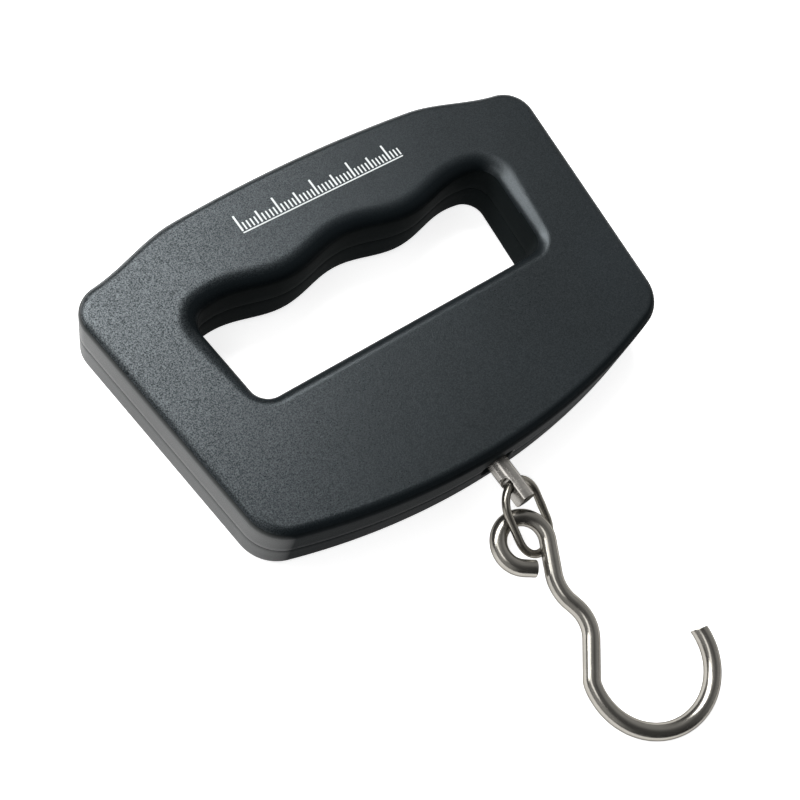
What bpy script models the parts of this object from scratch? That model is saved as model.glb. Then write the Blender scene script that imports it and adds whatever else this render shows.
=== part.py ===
"""Digital luggage scale: two ABS half shells with a hand grip, a load cell inside, and a steel stem,
wire link and hook below. Millimetres in the code, metres in the meshes.

Row frame: the scale lies on its back. z = 0 is the rear face, +Z out of the front face, +Y to the top of
the grip, +X to the right seen from the front. The origin is on the rear face, in the middle of the lower body.
"""

import math

import bmesh
import bpy
from mathutils import Matrix, Vector

for o in list(bpy.data.objects):
    bpy.data.objects.remove(o, do_unlink=True)

MM = 0.001

# ---- driving dimensions, mm -------------------------------------------------------------------------
THICK = 18.5            # rear face to front face
PART_Z = 9.25           # parting plane of the two shells
SHELL_GAP = 0.15        # each shell stops this far short of the parting plane
WALL = 1.9
TOP_Y = 64.8            # crown of the grip
BOTTOM_Y = -16.9        # lowest point of the bottom edge
BOTTOM_R = 160.0        # radius of the bottom edge
SIDE_X0, SIDE_K = 55.2, 0.1086      # half width = SIDE_X0 + SIDE_K * y
TOP_FLAT, TOP_BLEND, TOP_DROP = 31.6, 22.9, 3.13  # raised middle, shoulder length, shoulder drop
TOP_CROWN = 728.0       # the crown falls by x * x / TOP_CROWN
CORNER_TOP_R, CORNER_BOTTOM_R = 7.3, 9.7
EDGE_R = 2.75           # rounding of the outer edges
GRIP_Y0 = 18.1          # straight lower edge of the hand opening
GRIP_X0, GRIP_K = 36.55, 0.1        # half width of the opening = GRIP_X0 + GRIP_K * y
GRIP_TOP, WAVE, WAVE_PITCH = 41.55, 1.41, 32.8    # finger waves over the opening
GRIP_R_TOP, GRIP_R_BOTTOM = 4.65, 4.15
RIM_DEPTH, RIM_W, RIM_MORE = 3.0, 2.8, 0.6        # the opening's rounding, wider by RIM_MORE under the grip

STEM_R, STEM_Y0, STEM_Z = 2.42, -27.15, 8.9
STEM_FLAT, STEM_FLAT_Y, STEM_ROLL = 1.78, -20.55, math.radians(18.5)   # half thickness of the flattened end
CROSS_HOLE_Y, CROSS_HOLE_R = -22.3, 1.6
SLOT_W, SLOT_H = 8.0, 6.4

LINK_WIRE_R, LINK_W, LINK_L = 0.94, 11.05, 16.8   # wire, and the centreline's width and length
LINK_CENTRE = Vector((-0.14, -29.715, 5.352))
LINK_LONG = Vector((0.0255, 0.889, 0.4571)).normalized()
LINK_WIDE = Vector((0.9398, 0.1346, -0.3142)).normalized()

HOOK_WIRE_R = 1.925
HOOK_EYE = Vector((-4.361, -33.66, 4.624))       # centre of the eye
HOOK_TILT = (0.0529, -0.0595, 0.0)                # the eye rests on the link, the bowl on the table
HOOK_START = -88.95                               # heading of the wire at the point, degrees
# bend list from the point to the free end of the eye: (radius, turn in degrees) or (length,)
HOOK_BENDS = [(13.88, -195.0), (4.02, -24.0), (8.14,), (8.34, 53.4), (1.57,), (9.32, -42.9), (7.16,), (5.53, 262.0), (2.75,)]
HOOK_EYE_BEND = 7

SCREWS = [(-49.8, 23.0), (49.8, 23.0), (-51.0, 51.0), (51.0, 51.0), (-18.0, -10.4), (18.0, -10.4)]
CELL_R = 5.25
CELL_Y, CELL_Z = (-0.3, 10.5), 7.6
BUTTON_X, BUTTON_R = 22.5, 3.5


# ---- materials ---------------------------------------------------------------------------------------
def material(name, color, rough, metal=0.0, alpha=1.0):
    m = bpy.data.materials.get(name) or bpy.data.materials.new(name)
    m.use_nodes = True
    b = m.node_tree.nodes["Principled BSDF"]
    b.inputs["Base Color"].default_value = (*color, 1.0)
    b.inputs["Roughness"].default_value = rough
    b.inputs["Metallic"].default_value = metal
    b.inputs["Alpha"].default_value = alpha
    m.diffuse_color = (*color, alpha)
    return m


ABS_F = material("abs_charcoal", (0.045, 0.051, 0.055), 0.55)
ABS_R = material("abs_charcoal_rear", (0.040, 0.045, 0.049), 0.55)
GLOSS = material("gloss_black", (0.012, 0.012, 0.014), 0.15)
CLEAR = material("clear_lens", (0.55, 0.6, 0.6), 0.08, 0.0, 0.5)
LCD = material("lcd_grey", (0.42, 0.47, 0.40), 0.25)
WHITE = material("backlight_white", (0.8, 0.82, 0.85), 0.4)
RUBBER = material("connector_rubber", (0.30, 0.30, 0.32), 0.7)
PCB = material("pcb_green", (0.02, 0.16, 0.06), 0.45)
CHIP = material("epoxy_black", (0.01, 0.01, 0.01), 0.35)
STEEL = material("stainless", (0.62, 0.60, 0.57), 0.18, 1.0)
WIRE = material("nickel_wire", (0.66, 0.64, 0.61), 0.14, 1.0)
ZINC = material("zinc_screw", (0.55, 0.56, 0.58), 0.32, 1.0)
SPRING = material("spring_nickel", (0.70, 0.69, 0.66), 0.25, 1.0)
ALU = material("aluminium", (0.78, 0.79, 0.80), 0.35, 1.0)
GAUGE = material("gauge_foil", (0.55, 0.30, 0.08), 0.5)
CELL = material("cell_sleeve", (0.10, 0.22, 0.42), 0.4)
BUTTON = material("button_grey", (0.16, 0.17, 0.18), 0.5)
SWITCH = material("switch_steel", (0.6, 0.6, 0.6), 0.35, 1.0)
LEAD = material("lead_pvc", (0.35, 0.03, 0.03), 0.5)
LEAD2 = material("lead_pvc_grey", (0.30, 0.30, 0.30), 0.5)


# ---- mesh helpers ------------------------------------------------------------------------------------
def finish(bm, name, mat, smooth=35.0, hidden=False):
    """bmesh in mm to a closed object in metres, faces out."""
    bmesh.ops.recalc_face_normals(bm, faces=bm.faces)
    bmesh.ops.scale(bm, vec=(MM, MM, MM), verts=bm.verts)
    me = bpy.data.meshes.new(name)
    bm.to_mesh(me)
    bm.free()
    return place(me, name, mat, smooth, hidden)


def place(me, name, mat, smooth=35.0, hidden=False):
    ob = bpy.data.objects.new(name, me)
    bpy.context.scene.collection.objects.link(ob)
    if mat:
        me.materials.clear()
        me.materials.append(mat)
    if smooth:
        me.shade_smooth()
        me.set_sharp_from_angle(angle=math.radians(smooth))
    if hidden:
        ob.hide_render = True
        ob.display_type = "WIRE"
    return ob


def loft(rings):
    """Closed skin through rings of equal count, with both ends capped."""
    bm = bmesh.new()
    loops = []
    for ring in rings:
        loops.append([bm.verts.new(p) for p in ring])
    n = len(loops[0])
    for a, b in zip(loops, loops[1:]):
        for i in range(n):
            bm.faces.new((a[i], a[(i + 1) % n], b[(i + 1) % n], b[i]))
    bm.faces.new(loops[0][::-1])
    bm.faces.new(loops[-1])
    return bm


def prism(outline, z0, z1):
    """Outline extruded from z0 to z1."""
    bm = bmesh.new()
    face = bm.faces.new([bm.verts.new((x, y, z0)) for x, y in outline])
    out = bmesh.ops.extrude_face_region(bm, geom=[face])
    bmesh.ops.translate(bm, vec=(0, 0, z1 - z0), verts=[v for v in out["geom"] if isinstance(v, bmesh.types.BMVert)])
    return bm


def box(x0, x1, y0, y1, z0, z1, edge=0.0):
    bm = bmesh.new()
    bmesh.ops.create_cube(bm, size=1.0)
    bmesh.ops.scale(bm, vec=(x1 - x0, y1 - y0, z1 - z0), verts=bm.verts)
    bmesh.ops.translate(bm, vec=((x0 + x1) / 2, (y0 + y1) / 2, (z0 + z1) / 2), verts=bm.verts)
    if edge:
        bmesh.ops.bevel(bm, geom=bm.edges[:], offset=edge, segments=1, affect="EDGES")
    return bm


def lathe(profile, n=20, axis="Z", at=(0, 0, 0)):
    """Solid of revolution. profile is (height, radius) from one end to the other."""
    rings = []
    for h, r in profile:
        ring = []
        for i in range(n):
            a = 2 * math.pi * i / n
            c, s = r * math.cos(a), r * math.sin(a)
            p = {"Z": (c, s, h), "Y": (c, h, s), "X": (h, c, s)}[axis]
            ring.append((p[0] + at[0], p[1] + at[1], p[2] + at[2]))
        rings.append(ring)
    return loft(rings)


def ring_solid(r0, r1, h0, h1, n, at):
    """Flat ring about a Y axis."""
    bm = bmesh.new()
    loops = []
    for r, h in ((r0, h0), (r1, h0), (r1, h1), (r0, h1)):
        loops.append([bm.verts.new((r * math.cos(2 * math.pi * i / n) + at[0], h, r * math.sin(2 * math.pi * i / n) + at[1])) for i in range(n)])
    for a, b in zip(loops, loops[1:] + loops[:1]):
        for i in range(n):
            bm.faces.new((a[i], a[(i + 1) % n], b[(i + 1) % n], b[i]))
    return bm


def merge(*parts):
    """Separate closed bodies in one bmesh, for a cutter or a joiner."""
    bm = bmesh.new()
    for p in parts:
        bmesh.ops.recalc_face_normals(p, faces=p.faces)
        me = bpy.data.meshes.new("tmp")
        p.to_mesh(me)
        p.free()
        bm.from_mesh(me)
        bpy.data.meshes.remove(me)
    return bm


def boolean(target, bm, operation):
    """Boolean with a throwaway tool; the modifier is applied at once."""
    tool = finish(bm, "tool", None, 0, True)
    mod = target.modifiers.new("cut", "BOOLEAN")
    mod.operation, mod.object, mod.solver = operation, tool, "EXACT"
    bpy.context.view_layer.update()
    deps = bpy.context.evaluated_depsgraph_get()
    me = bpy.data.meshes.new_from_object(target.evaluated_get(deps))
    old = target.data
    target.modifiers.clear()
    target.data = me
    me.name = target.name
    bpy.data.meshes.remove(old)
    bpy.data.objects.remove(tool, do_unlink=True)
    return target


def tidy(ob, smooth=35.0):
    bm = bmesh.new()
    bm.from_mesh(ob.data)
    bmesh.ops.remove_doubles(bm, verts=bm.verts, dist=1e-6)
    bmesh.ops.dissolve_degenerate(bm, edges=bm.edges, dist=1e-6)
    bm.to_mesh(ob.data)
    bm.free()
    ob.data.shade_smooth()
    ob.data.set_sharp_from_angle(angle=math.radians(smooth))


# ---- outlines ----------------------------------------------------------------------------------------
def top_edge(x):
    t = min(max((abs(x) - TOP_FLAT) / TOP_BLEND, 0.0), 1.0)
    return TOP_Y - x * x / TOP_CROWN - TOP_DROP * (1 - math.cos(math.pi * t)) / 2


def bottom_edge(x):
    return BOTTOM_Y + BOTTOM_R - math.sqrt(BOTTOM_R ** 2 - x * x)


def grip_top(x):
    return GRIP_TOP + WAVE * math.cos(2 * math.pi * x / WAVE_PITCH)


def corner(curve, up, x0, k, r):
    """Fillet of radius r between y = curve(x) and the side line x = x0 + k y. up is +1 at the top, -1 at the bottom.
    Returns the fillet's centre and its tangent points on the curve and on the side."""
    def centre(x):
        s = (curve(x + 1e-4) - curve(x - 1e-4)) / 2e-4
        m = math.hypot(s, 1)
        return x + up * s / m * r, curve(x) - up * r / m

    lo, hi = 20.0, 62.0
    for _ in range(60):
        mid = (lo + hi) / 2
        cx, cy = centre(mid)
        if (x0 + k * cy - cx) / math.hypot(1, k) > r:
            lo = mid
        else:
            hi = mid
    cx, cy = centre(lo)
    m = math.hypot(1, k)
    return (cx, cy), (lo, curve(lo)), (cx + r / m, cy - r * k / m)


def arc(c, r, p, q, n):
    """Points on the short arc about c from p to q, both ends included."""
    a, b = math.atan2(p[1] - c[1], p[0] - c[0]), math.atan2(q[1] - c[1], q[0] - c[0])
    while b - a > math.pi:
        b -= 2 * math.pi
    while b - a < -math.pi:
        b += 2 * math.pi
    return [(c[0] + r * math.cos(a + (b - a) * i / n), c[1] + r * math.sin(a + (b - a) * i / n)) for i in range(n + 1)]


def outline(top, bottom, x0, k, r_top, r_bottom, n_bottom, n_corner, n_side, n_top):
    """Closed outline, counterclockwise, symmetric about x = 0."""
    cb, pb, qb = corner(bottom, -1, x0, k, r_bottom)
    ct, pt, qt = corner(top, 1, x0, k, r_top)
    half = [(pb[0] * i / n_bottom, bottom(pb[0] * i / n_bottom)) for i in range(n_bottom)]
    half += arc(cb, r_bottom, pb, qb, n_corner)
    half += [(qb[0] + (qt[0] - qb[0]) * i / n_side, qb[1] + (qt[1] - qb[1]) * i / n_side) for i in range(1, n_side)]
    half += arc(ct, r_top, qt, pt, n_corner)
    half += [(pt[0] * (1 - i / n_top), top(pt[0] * (1 - i / n_top))) for i in range(1, n_top + 1)]
    return half + [(-x, y) for x, y in half[-2:0:-1]]


def offset(points, d):
    """Outline moved outward by d along its corner bisectors."""
    out, n = [], len(points)
    for i in range(n):
        a, b, c = points[i - 1], points[i], points[(i + 1) % n]
        u = Vector((b[0] - a[0], b[1] - a[1])).normalized()
        v = Vector((c[0] - b[0], c[1] - b[1])).normalized()
        nx, ny = u.y + v.y, -(u.x + v.x)
        m = (nx * nx + ny * ny) / 2
        out.append((b[0] + nx * d / m, b[1] + ny * d / m))
    return out


def rim(points, k):
    """Opening's outline moved outward by k times the rim's width, which grows towards the grip."""
    out = []
    for (x, y), (u, v) in zip(points, offset(points, 1.0)):
        t = min(max((y - GRIP_Y0) / (GRIP_TOP - GRIP_Y0), 0.0), 1.0)
        d = k * RIM_W * (1 + RIM_MORE * t * t * (3 - 2 * t))
        out.append((x + (u - x) * d, y + (v - y) * d))
    return out


def quarter(steps):
    """(1 - cos, 1 - sin) at equal steps round a quarter of a circle."""
    return [(1 - math.cos(math.pi * i / 2 / steps), 1 - math.sin(math.pi * i / 2 / steps)) for i in range(steps + 1)]


def rounded(x0, x1, y0, y1, radii, n=4):
    """Rounded rectangle; radii start at the lower right corner and go counterclockwise."""
    spec = [(x1, y0, -1, 1, -90), (x1, y1, -1, -1, 0), (x0, y1, 1, -1, 90), (x0, y0, 1, 1, 180)]
    pts = []
    for (cx, cy, sx, sy, a0), r in zip(spec, radii):
        for i in range(n + 1):
            a = math.radians(a0 + 90 * i / n)
            pts.append((cx + sx * r + r * math.cos(a), cy + sy * r + r * math.sin(a)))
    return pts


BODY = outline(top_edge, bottom_edge, SIDE_X0, SIDE_K, CORNER_TOP_R, CORNER_BOTTOM_R, 7, 5, 2, 13)
GRIP = outline(grip_top, lambda x: GRIP_Y0, GRIP_X0, GRIP_K, GRIP_R_TOP, GRIP_R_BOTTOM, 2, 4, 2, 12)


def at_z(points, z):
    return [(x, y, z) for x, y in points]


def shell(name, mat, front):
    """Half shell with the hand opening's wall; front is True for the +Z half."""
    if front:
        z_part, z_face, s = PART_Z + SHELL_GAP, THICK, 1
    else:
        z_part, z_face, s = PART_Z - SHELL_GAP, 0.0, -1
    rings = [(0.0, z_part)] + [(-EDGE_R * c, z_face - s * EDGE_R * d) for c, d in quarter(3)]
    ob = finish(loft([at_z(offset(BODY, d), z) for d, z in rings]), name, mat)
    grip = [(0.0, z_part - s * 1.0)] + [(c, z_face - s * RIM_DEPTH * d) for c, d in quarter(3)] + [(1.15, z_face + s * 0.5)]
    cav = finish(prism(offset(BODY, -WALL), z_part - s * 1.0, z_face - s * WALL), "cavity", None, 0, True)
    boolean(cav, prism(offset(GRIP, WALL), z_part - s * 3.0, z_face), "DIFFERENCE")
    me = cav.data
    bm = bmesh.new()
    bm.from_mesh(me)
    bmesh.ops.scale(bm, vec=(1 / MM,) * 3, verts=bm.verts)
    bpy.data.objects.remove(cav, do_unlink=True)
    boolean(ob, bm, "DIFFERENCE")
    boolean(ob, loft([at_z(rim(GRIP, d), z) for d, z in grip]), "DIFFERENCE")
    return ob


# ---- housings ----------------------------------------------------------------------------------------
front = shell("front_housing", ABS_F, True)
boolean(front, merge(*[lathe([(PART_Z + SHELL_GAP, 2.9), (THICK - WALL + 0.4, 2.9)], 12, "Z", (x, y, 0)) for x, y in SCREWS]), "UNION")
boolean(front, merge(*[lathe([(PART_Z - 1, 1.4), (14.6, 1.4)], 10, "Z", (x, y, 0)) for x, y in SCREWS]), "DIFFERENCE")

rear = shell("rear_housing", ABS_R, False)
ribs = [lathe([(WALL - 0.4, 3.3), (PART_Z - SHELL_GAP, 3.3)], 12, "Z", (x, y, 0)) for x, y in SCREWS]
boolean(rear, merge(*ribs), "UNION")
boolean(rear, merge(box(4.4, 5.2, -7.1, 15.4, WALL - 0.4, 13.4)), "UNION")
boolean(rear, merge(box(4.8, 44.0, -7.1, -6.3, WALL - 0.35, 11.0)), "UNION")
boolean(rear, merge(*[lathe([(-1, 2.7), (2.1, 2.7), (2.1, 1.4), (PART_Z + 1, 1.4)], 12, "Z", (x, y, 0)) for x, y in SCREWS]), "DIFFERENCE")
DOOR = rounded(6.2, 50.5, -5.0, 15.2, (6.0, 1.5, 1.5, 1.5))
boolean(rear, prism(offset(DOOR, 0.35), -1.0, WALL + 0.2), "DIFFERENCE")
boolean(rear, merge(*[lathe([(0.7, 1.35), (3.0, 1.35)], 10, "Z", (x, 10.5, 0)) for x in (-35.5, -44.0)]), "DIFFERENCE")

slot = rounded(-SLOT_W / 2, SLOT_W / 2, -SLOT_H / 2, SLOT_H / 2, (2.6,) * 4, 4)
for ob in (front, rear):
    bm = loft([[(x, y, z + STEM_Z) for x, z in slot] for y in (-20.0, -12.0)])
    boolean(ob, bm, "DIFFERENCE")
    boolean(ob, box(-30.3, 30.3, 61.2, 67.0, PART_Z - 6.3, PART_Z + 6.3), "DIFFERENCE")
    tidy(ob)

# ---- top panel, window, buttons ----------------------------------------------------------------------
def strip(x0, x1, z0, z1, drop0, drop1, n):
    """Strip that follows the crown of the grip, from drop1 below it to drop0 below it."""
    rings = []
    for i in range(n + 1):
        x = x0 + (x1 - x0) * i / n
        y = top_edge(x)
        rings.append([(x, y - drop1, z0), (x, y - drop0, z0), (x, y - drop0, z1), (x, y - drop1, z1)])
    return loft(rings)


panel = finish(strip(-30.0, 30.0, PART_Z - 6.0, PART_Z + 6.0, 0.2, 1.6, 16), "top_panel", GLOSS)
boolean(panel, box(-15.3, 15.3, 60, 67, PART_Z - 4.4, PART_Z + 4.4), "DIFFERENCE")
boolean(panel, merge(*[lathe([(60, BUTTON_R + 0.3), (67, BUTTON_R + 0.3)], 20, "Y", (x, 0, PART_Z)) for x in (-BUTTON_X, BUTTON_X)]), "DIFFERENCE")
tidy(panel)
finish(strip(-15.0, 15.0, PART_Z - 4.1, PART_Z + 4.1, 0.35, 1.35, 10), "display_lens", CLEAR)
finish(box(-15.5, 15.5, 60.2, 62.3, PART_Z - 5.0, PART_Z + 5.0), "lcd_module", LCD)
finish(box(-14.0, 14.0, 57.0, 59.9, PART_Z - 2.8, PART_Z + 4.8), "lcd_backlight", WHITE)
finish(box(-13.0, 13.0, 57.0, 59.9, PART_Z - 4.8, PART_Z - 3.4), "lcd_connector", RUBBER)
finish(box(-34.0, 34.0, 55.1, 56.7, PART_Z - 5.4, PART_Z + 5.4), "main_pcb", PCB)
finish(box(-3.5, 3.5, 53.6, 54.8, PART_Z - 3.5, PART_Z + 3.5, 0.25), "controller_chip", CHIP)
for name, x in (("power", -BUTTON_X), ("unit", BUTTON_X)):
    top = top_edge(x) + 0.35
    b = finish(lathe([(60.7 - top, 4.3), (61.4 - top, 4.3), (61.4 - top, BUTTON_R), (-0.35, BUTTON_R), (0.0, BUTTON_R - 0.4)], 24, "Y"), "button_" + name, BUTTON)
    b.location = (x * MM, top * MM, PART_Z * MM)
    s = finish(box(x - 2.3, x + 2.3, 57.0, 59.3, PART_Z - 2.3, PART_Z + 2.3), "tact_switch_" + name, SWITCH)
    boolean(s, lathe([(58.5, 1.2), (59.8, 1.2)], 10, "Y", (x, 0, PART_Z)), "UNION")
    tidy(s)

# ---- batteries ---------------------------------------------------------------------------------------
def cell(name, x0, x1, nub, y):
    """AAA cell along X; nub is +1 with the pip at +X."""
    prof = [(x0, CELL_R - 0.4), (x0 + 0.4, CELL_R), (x1 - 0.4, CELL_R), (x1, CELL_R - 0.4)]
    if nub > 0:
        prof += [(x1, 1.9), (x1 + 0.8, 1.7)]
    else:
        prof = [(x0 - 0.8, 1.7), (x0, 1.9)] + prof
    return finish(lathe(prof, 24, "X", (0, y, CELL_Z)), name, CELL)


cell("battery_cell_1", 7.5, 51.0, 1, CELL_Y[0])
cell("battery_cell_2", 6.85, 50.35, -1, CELL_Y[1])
finish(box(52.1, 52.5, -3.0, 13.7, 4.0, 11.6), "battery_bridge", SPRING)
finish(box(5.5, 5.8, 6.6, 13.8, 4.0, 11.6), "battery_contact_positive", SPRING)
finish(box(5.5, 5.8, -4.2, 3.0, 4.0, 11.6), "battery_contact_negative", SPRING)


def wire(name, points, radius, mat, cyclic=False, res=2):
    """Round wire along points in mm, with filled ends."""
    cu = bpy.data.curves.new(name, "CURVE")
    cu.dimensions, cu.bevel_depth, cu.bevel_resolution, cu.use_fill_caps = "3D", radius * MM, res, True
    cu.twist_mode = "MINIMUM"
    sp = cu.splines.new("POLY")
    sp.points.add(len(points) - 1)
    for q, p in zip(sp.points, points):
        q.co = (p[0] * MM, p[1] * MM, p[2] * MM, 1)
    sp.use_cyclic_u = cyclic
    cu.materials.append(mat)
    ob = bpy.data.objects.new(name, cu)
    bpy.context.scene.collection.objects.link(ob)
    return ob


def coil(x0, x1, y, r0, r1, turns):
    """Conical contact spring along X."""
    pts, n = [], int(turns * 12)
    for i in range(n + 1):
        t = i / n
        a, r = 2 * math.pi * turns * t, r0 + (r1 - r0) * t
        pts.append((x0 + (x1 - x0) * t, y + r * math.cos(a), CELL_Z + r * math.sin(a)))
    return pts


wire("battery_spring_1", coil(6.35, 6.95, CELL_Y[0], 3.4, 2.2, 1.4), 0.22, SPRING)
wire("battery_spring_2", coil(51.6, 50.9, CELL_Y[1], 3.4, 2.2, 1.4), 0.22, SPRING)

door = finish(prism([(x - 50.5, y) for x, y in DOOR], 0.2, 1.8), "battery_door", ABS_R)
boolean(door, box(-1.2, -0.1, 3.4, 6.2, 1.4, 3.0), "UNION")
boolean(door, box(-0.6, 1.1, 3.5, 6.1, 2.2, 2.9), "UNION")
boolean(door, prism([(x - 50.5, y) for x, y in rounded(7.2, 9.4, 1.1, 9.1, (1.0,) * 4, 3)], -0.5, 0.8), "DIFFERENCE")
tidy(door)
door.location = (50.5 * MM, 0, 0)

# ---- load cell ---------------------------------------------------------------------------------------
bar = finish(box(-47.0, 4.0, -6.0, 4.0, 4.5, 13.5, 0.3), "load_cell", ALU)
boolean(bar, lathe([(-8, STEM_R + 0.25), (6, STEM_R + 0.25)], 24, "Y", (0, 0, STEM_Z)), "DIFFERENCE")
boolean(bar, merge(*[lathe([(3, 2.2), (15, 2.2)], 16, "Z", (x, -1.0, 0)) for x in (-36.4, -43.8)]), "DIFFERENCE")
boolean(bar, lathe([(3, 3.2), (15, 3.2)], 20, "Z", (-18.0, -1.0, 0)), "DIFFERENCE")
boolean(bar, lathe([(3, 3.2), (15, 3.2)], 20, "Z", (-27.0, -1.0, 0)), "DIFFERENCE")
boolean(bar, box(-26.0, -19.0, -1.9, -0.1, 3, 15), "DIFFERENCE")
tidy(bar)
finish(box(-25.5, -19.5, 4.3, 4.5, 6.5, 11.5), "strain_gauge_upper", GAUGE)
finish(box(-25.5, -19.5, -6.5, -6.3, 6.5, 11.5), "strain_gauge_lower", GAUGE)
bracket = finish(box(-47.6, -31.5, -6.0, 13.8, 2.2, 4.2, 0.2), "load_cell_bracket", STEEL)
holes = [lathe([(1, 2.2), (6, 2.2)], 16, "Z", (x, -1.0, 0)) for x in (-36.4, -43.8)]
holes += [lathe([(1, 1.35), (6, 1.35)], 12, "Z", (x, 10.5, 0)) for x in (-35.5, -44.0)]
boolean(bracket, merge(*holes), "DIFFERENCE")
tidy(bracket)
for i, x in enumerate((-36.4, -43.8)):
    finish(lathe([(2.5, 1.6), (2.8, 1.9), (13.8, 1.9), (13.8, 3.3), (15.4, 3.3), (15.8, 2.9)], 16, "Z", (x, -1.0, 0)), f"load_cell_bolt_{i + 1}", ZINC)
for i, x in enumerate((-35.5, -44.0)):
    finish(lathe([(1.0, 0.7), (1.3, 1.0), (4.5, 1.0), (4.5, 2.2), (5.3, 2.2), (5.7, 1.6)], 12, "Z", (x, 10.5, 0)), f"bracket_screw_{i + 1}", ZINC)

# ---- stem, washer, link, hook ------------------------------------------------------------------------
finish(ring_solid(STEM_R + 0.3, 3.9, 4.3, 5.1, 24, (0, STEM_Z)), "stem_washer", ZINC)
y0 = CROSS_HOLE_Y
stem = finish(lathe([(STEM_Y0 - y0, STEM_R - 0.35), (STEM_Y0 + 0.35 - y0, STEM_R), (5.4 - y0, STEM_R), (5.4 - y0, 3.5), (7.6 - y0, 3.5), (8.1 - y0, 3.0)], 28, "Y"), "hanger_stem", STEEL)
for side in (1, -1):
    flat = box(STEM_FLAT, 4.0, -9.0, STEM_FLAT_Y - y0, -4.0, 4.0)
    bmesh.ops.rotate(flat, verts=flat.verts, cent=(0, 0, 0), matrix=Matrix.Rotation(STEM_ROLL + (math.pi if side < 0 else 0), 3, "Y"))
    boolean(stem, flat, "DIFFERENCE")
hole = lathe([(-4, CROSS_HOLE_R), (4, CROSS_HOLE_R)], 20, "X")
bmesh.ops.rotate(hole, verts=hole.verts, cent=(0, 0, 0), matrix=Matrix.Rotation(STEM_ROLL, 3, "Y"))
boolean(stem, hole, "DIFFERENCE")
tidy(stem)
stem.location = (0, y0 * MM, STEM_Z * MM)


def loop(width, length, n_arc, n_side):
    """Stadium centreline in the plane of a and b: a across, b along."""
    r = width / 2
    s = length / 2 - r
    pts = [(r * math.cos(math.pi * i / n_arc), s + r * math.sin(math.pi * i / n_arc)) for i in range(n_arc + 1)]
    pts += [(-r, s - 2 * s * i / n_side) for i in range(1, n_side)]
    pts += [(-r * math.cos(math.pi * i / n_arc), -s - r * math.sin(math.pi * i / n_arc)) for i in range(n_arc + 1)]
    pts += [(r, -s + 2 * s * i / n_side) for i in range(1, n_side)]
    return pts


PIVOT = Vector((0.0, CROSS_HOLE_Y, STEM_Z))
ring = [LINK_CENTRE + LINK_WIDE * a + LINK_LONG * b - PIVOT for a, b in loop(LINK_W, LINK_L, 18, 4)]
link = wire("hook_link", ring, LINK_WIRE_R, STEEL, True, 3)
link.location = PIVOT * MM


def bend(start, heading, bends, step):
    """Centreline of a bent wire in its own plane. Returns its points and the centre of the bend HOOK_EYE_BEND."""
    x, y, h = start[0], start[1], math.radians(heading)
    pts, eye = [(x, y)], None
    for k, b in enumerate(bends):
        if len(b) == 1:
            length, c, n = b[0], 0.0, 1 + int(b[0] > 4)
        else:
            length, c = b[0] * math.radians(abs(b[1])), math.copysign(1 / b[0], b[1])
            n = max(3, round(abs(b[1]) / step))
            if k == HOOK_EYE_BEND:
                eye = (x - math.sin(h) * b[0], y + math.cos(h) * b[0])
        d = length / n
        for _ in range(n):
            chord = d if c == 0 else 2 * math.sin(c * d / 2) / c
            x, y = x + math.cos(h + c * d / 2) * chord, y + math.sin(h + c * d / 2) * chord
            h += c * d
            pts.append((x, y))
    return pts, eye


path, eye = bend((0.0, 0.0), HOOK_START, HOOK_BENDS, 8.5)
hook = wire("hook", [(x - eye[0], y - eye[1], 0.0) for x, y in path], HOOK_WIRE_R, WIRE, False, 3)
hook.location = HOOK_EYE * MM
hook.rotation_euler = HOOK_TILT

# ---- screws and leads --------------------------------------------------------------------------------
for i, (x, y) in enumerate(SCREWS):
    finish(lathe([(0.5, 2.0), (0.8, 2.35), (1.8, 2.35), (1.8, 1.05), (13.4, 1.05), (13.9, 0.5)], 12, "Z", (x, y, 0)), f"housing_screw_{i + 1}", ZINC)


def smooth_route(stations, n):
    """Catmull-Rom curve through the stations, n points a stretch."""
    v = [Vector(s) for s in stations]
    v = [2 * v[0] - v[1]] + v + [2 * v[-1] - v[-2]]
    pts = []
    for a, b, c, d in zip(v, v[1:], v[2:], v[3:]):
        for i in range(n):
            t = i / n
            pts.append(0.5 * (2 * b + (c - a) * t + (2 * a - 5 * b + 4 * c - d) * t * t + (3 * b - a - 3 * c + d) * t ** 3))
    return pts + [v[-2]]


wire("cable_load_cell", smooth_route([(-26.5, 6.0, 9.0), (-31.0, 11.0, 12.5), (-39.0, 13.6, 13.2), (-44.0, 18.5, 11.5), (-44.6, 30.0, 9.5), (-44.2, 44.0, 9.5), (-40.0, 50.0, 9.5), (-35.8, 53.4, 9.5), (-32.0, 54.0, 9.5)], 3), 0.7, LEAD2)
wire("cable_battery", smooth_route([(6.8, 14.6, 13.4), (14.0, 14.6, 14.6), (30.0, 14.4, 14.8), (40.0, 15.4, 14.4), (44.4, 21.0, 12.0), (44.8, 32.0, 9.5), (44.2, 44.0, 9.5), (40.0, 50.0, 9.5), (35.8, 53.4, 9.5), (32.0, 54.0, 9.5)], 3), 0.7, LEAD)
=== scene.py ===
"""Looks of the digital luggage scale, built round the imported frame. Millimetres in the code, metres in the meshes.
Row frame: the scale lies on its rear face (z = 0), +Y to the top of the grip, +X to the right."""

import math

import bmesh
import bpy
from mathutils import Euler, Matrix, Vector


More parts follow.
